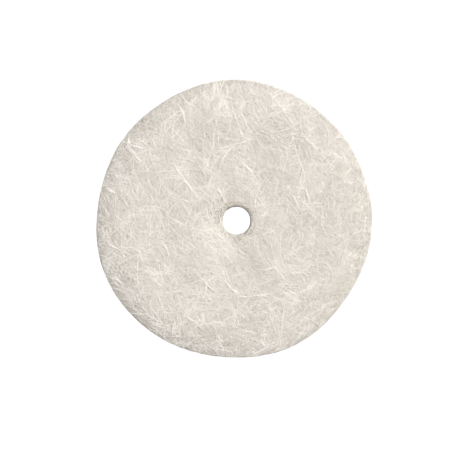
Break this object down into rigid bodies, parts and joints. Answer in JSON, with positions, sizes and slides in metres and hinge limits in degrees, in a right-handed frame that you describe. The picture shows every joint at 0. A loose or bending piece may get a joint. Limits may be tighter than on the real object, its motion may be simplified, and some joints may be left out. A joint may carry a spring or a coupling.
{
  "type": "felt polishing wheel",
  "caption": "Flat round disc of pressed off-white wool felt with a small central arbor hole, for polishing on a rotary-tool mandrel.",
  "frame": {"origin": "on the axis of the arbor bore, half-way through the felt's thickness", "axes": "+Z along the bore axis, out of the front face; +X and +Y in the plane of the disc, which is round, with its rim's centre 0.23 mm to -X and 0.08 mm to +Y of the bore"},
  "size_m": [0.0254, 0.0254, 0.0032],
  "materials": {
    "felt": "matt, fibrous"
  },
  "bodies": {
    "root": {"felt_disc": "felt"}
  },
  "joints": []
}
